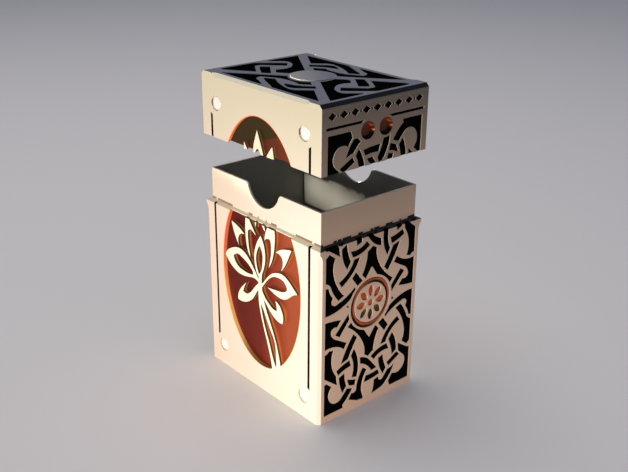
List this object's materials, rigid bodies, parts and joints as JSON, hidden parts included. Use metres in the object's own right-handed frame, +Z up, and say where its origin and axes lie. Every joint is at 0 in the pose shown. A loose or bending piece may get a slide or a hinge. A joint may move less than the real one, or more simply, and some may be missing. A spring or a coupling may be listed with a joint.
{
  "type": "card deck box",
  "caption": "Upright metal box for a deck of trading cards, with a thin liner standing out of the case, thumb notches and a lift-off lid inlaid with knotwork and a lotus.",
  "frame": {"origin": "centre of the base's footprint, on the surface that the box stands on", "axes": "+Z up through the lid, -Y out of the front face, +X to the right seen from the front"},
  "size_m": [0.074, 0.055, 0.1332],
  "materials": {
    "ivory_enamel": "satin",
    "liner": "satin",
    "black_inlay": "satin",
    "copper": "polished copper",
    "pin_steel": "polished"
  },
  "bodies": {
    "case": {"case_back_copper_bezel": "copper", "case_back_copper_plate": "copper", "case_back_lotus": "ivory_enamel", "case_back_panel": "ivory_enamel", "case_back_slot_inlays": "black_inlay", "case_base": "ivory_enamel", "case_front_copper_bezel": "copper", "case_front_copper_plate": "copper", "case_front_lotus": "ivory_enamel", "case_front_panel": "ivory_enamel", "case_front_slot_inlays": "black_inlay", "case_left_knot_inlay": "black_inlay", "case_left_medallion_ring": "copper", "case_left_panel": "ivory_enamel", "case_left_rosette": "copper", "case_liner": "liner", "case_pins": "pin_steel", "case_right_knot_inlay": "black_inlay", "case_right_medallion_ring": "copper", "case_right_panel": "ivory_enamel", "case_right_rosette": "copper"},
    "lid": {"lid_back_copper_bezel": "copper", "lid_back_copper_plate": "copper", "lid_back_lotus": "ivory_enamel", "lid_back_panel": "ivory_enamel", "lid_back_slot_inlays": "black_inlay", "lid_front_copper_bezel": "copper", "lid_front_copper_plate": "copper", "lid_front_lotus": "ivory_enamel", "lid_front_panel": "ivory_enamel", "lid_front_slot_inlays": "black_inlay", "lid_left_band_inlay": "black_inlay", "lid_left_copper_cups": "copper", "lid_left_knot_inlay": "black_inlay", "lid_left_panel": "ivory_enamel", "lid_left_rule_inlays": "black_inlay", "lid_liner": "liner", "lid_pins": "pin_steel", "lid_right_band_inlay": "black_inlay", "lid_right_copper_cups": "copper", "lid_right_knot_inlay": "black_inlay", "lid_right_panel": "ivory_enamel", "lid_right_rule_inlays": "black_inlay", "lid_top_boss": "ivory_enamel", "lid_top_knot_inlay": "black_inlay", "lid_top_plate": "ivory_enamel"}
  },
  "joints": [
    {"name": "lid_lift", "type": "slide", "parent": "case", "child": "lid", "axis": [0, 0, 1], "range_m": [-0.02935, 0.03]}
  ]
}
